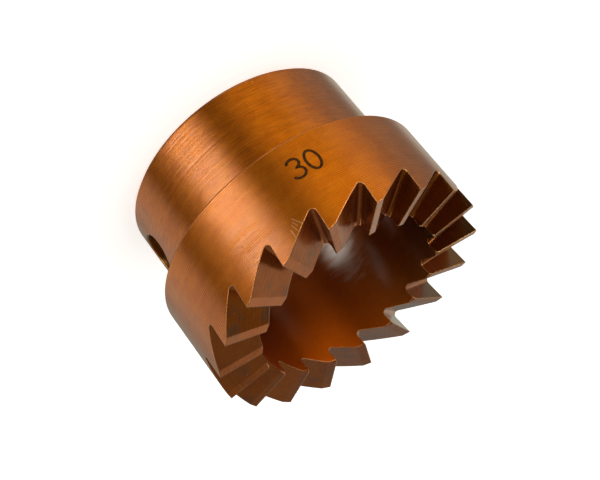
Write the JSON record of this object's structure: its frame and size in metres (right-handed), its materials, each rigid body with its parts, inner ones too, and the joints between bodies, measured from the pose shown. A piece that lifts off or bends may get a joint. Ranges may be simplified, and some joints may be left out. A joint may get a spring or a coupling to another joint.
{
  "type": "crown race cutter",
  "caption": "Hollow end mill for a fork crown race seat: wide head with a ring of end teeth, narrower collar behind it, straight bore and one radial screw hole.",
  "frame": {"origin": "centre of the collar's back face, on which the cutter stands", "axes": "+Z along the bore from the collar to the teeth; +X under one cutting edge"},
  "size_m": [0.0444, 0.0444, 0.0302],
  "materials": {
    "coated_tool_steel": "satin bronze hard coating over fine turning lines"
  },
  "bodies": {
    "root": {"crown_race_cutter": "coated_tool_steel"}
  },
  "joints": []
}
